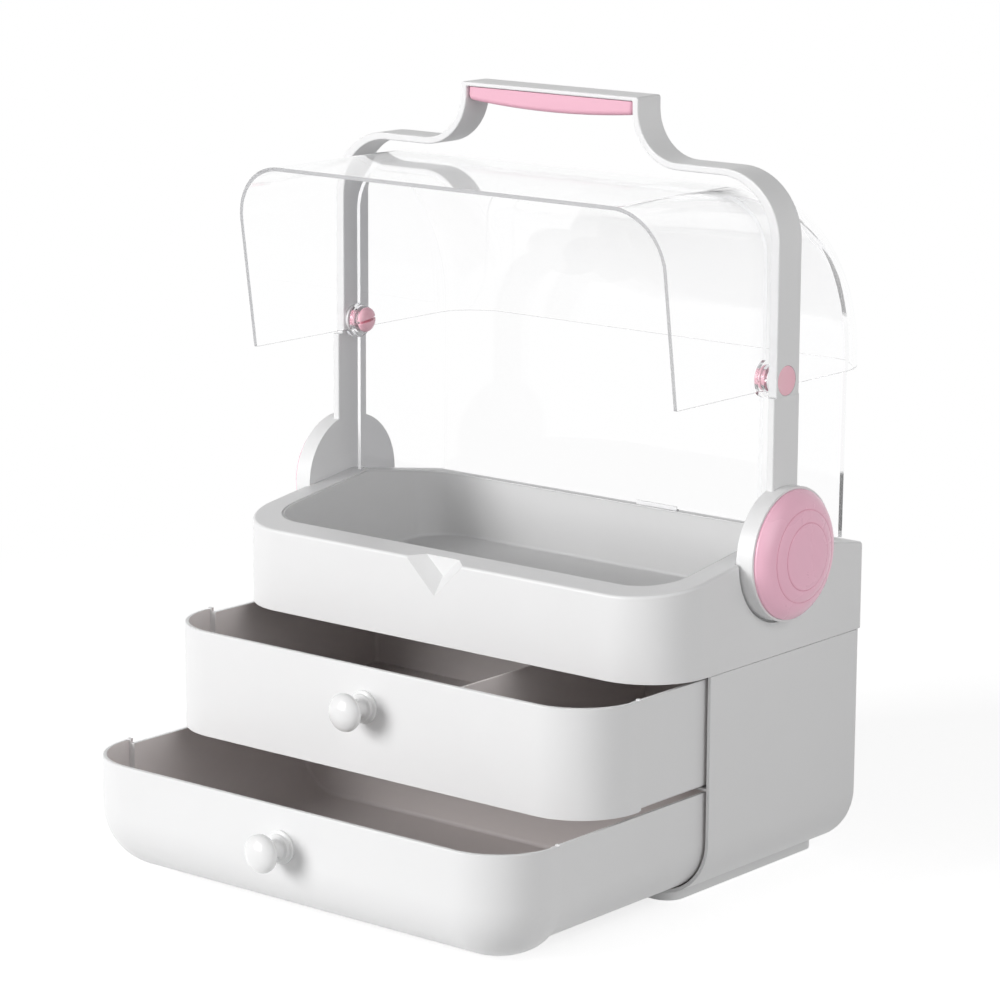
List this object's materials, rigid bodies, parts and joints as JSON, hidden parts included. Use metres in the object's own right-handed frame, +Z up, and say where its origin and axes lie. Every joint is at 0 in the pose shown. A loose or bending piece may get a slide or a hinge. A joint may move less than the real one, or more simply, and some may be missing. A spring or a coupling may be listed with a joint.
{
  "type": "makeup storage case",
  "caption": "Makeup storage case with two knobbed drawers, a tray under a clear swing-back hood and a carrying handle on round side hubs.",
  "frame": {"origin": "on the surface that the case stands on, in the middle of its width and halfway between the tray's front and rear faces", "axes": "+X to the case's right seen from the front, +Y towards its rear, +Z up"},
  "size_m": [0.313, 0.315, 0.3842],
  "materials": {
    "case_plastic": "glossy",
    "inner_plastic": "satin",
    "knob_plastic": "glossy",
    "pink_plastic": "glossy",
    "pink_grip": "satin",
    "clear_plastic": "clear, polished",
    "steel": "zinc plated"
  },
  "bodies": {
    "case": {"body_shell": "case_plastic", "base_plinth": "case_plastic", "drawer_shelf": "inner_plastic", "tray_casing": "case_plastic", "tray_liner": "inner_plastic", "handle_arch": "case_plastic", "handle_grip": "pink_grip", "arm_left": "case_plastic", "arm_right": "case_plastic", "hub_cap_left": "pink_plastic", "hub_cap_right": "pink_plastic", "hub_retainer_left": "steel", "hub_retainer_right": "steel", "pivot_pin_left": "pink_plastic", "pivot_pin_right": "pink_plastic", "rear_shell": "clear_plastic"},
    "hood": {"hood": "clear_plastic"},
    "upper_drawer": {"upper_drawer_front": "case_plastic", "upper_drawer_box": "inner_plastic", "upper_drawer_divider": "inner_plastic", "upper_knob": "knob_plastic", "upper_knob_screw": "steel"},
    "lower_drawer": {"lower_drawer_front": "case_plastic", "lower_drawer_box": "inner_plastic", "lower_knob": "knob_plastic", "lower_knob_screw": "steel"}
  },
  "joints": [
    {"name": "hood_hinge", "type": "hinge", "parent": "case", "child": "hood", "pos_m": [0, 0.01085, 0.2541], "axis": [1, 0, 0], "range_deg": [0, 90]},
    {"name": "upper_slide", "type": "slide", "parent": "case", "child": "upper_drawer", "axis": [0, -1, 0], "range_m": [-0.0516, 0.0648]},
    {"name": "lower_slide", "type": "slide", "parent": "case", "child": "lower_drawer", "axis": [0, -1, 0], "range_m": [-0.111, 0.0054]}
  ]
}
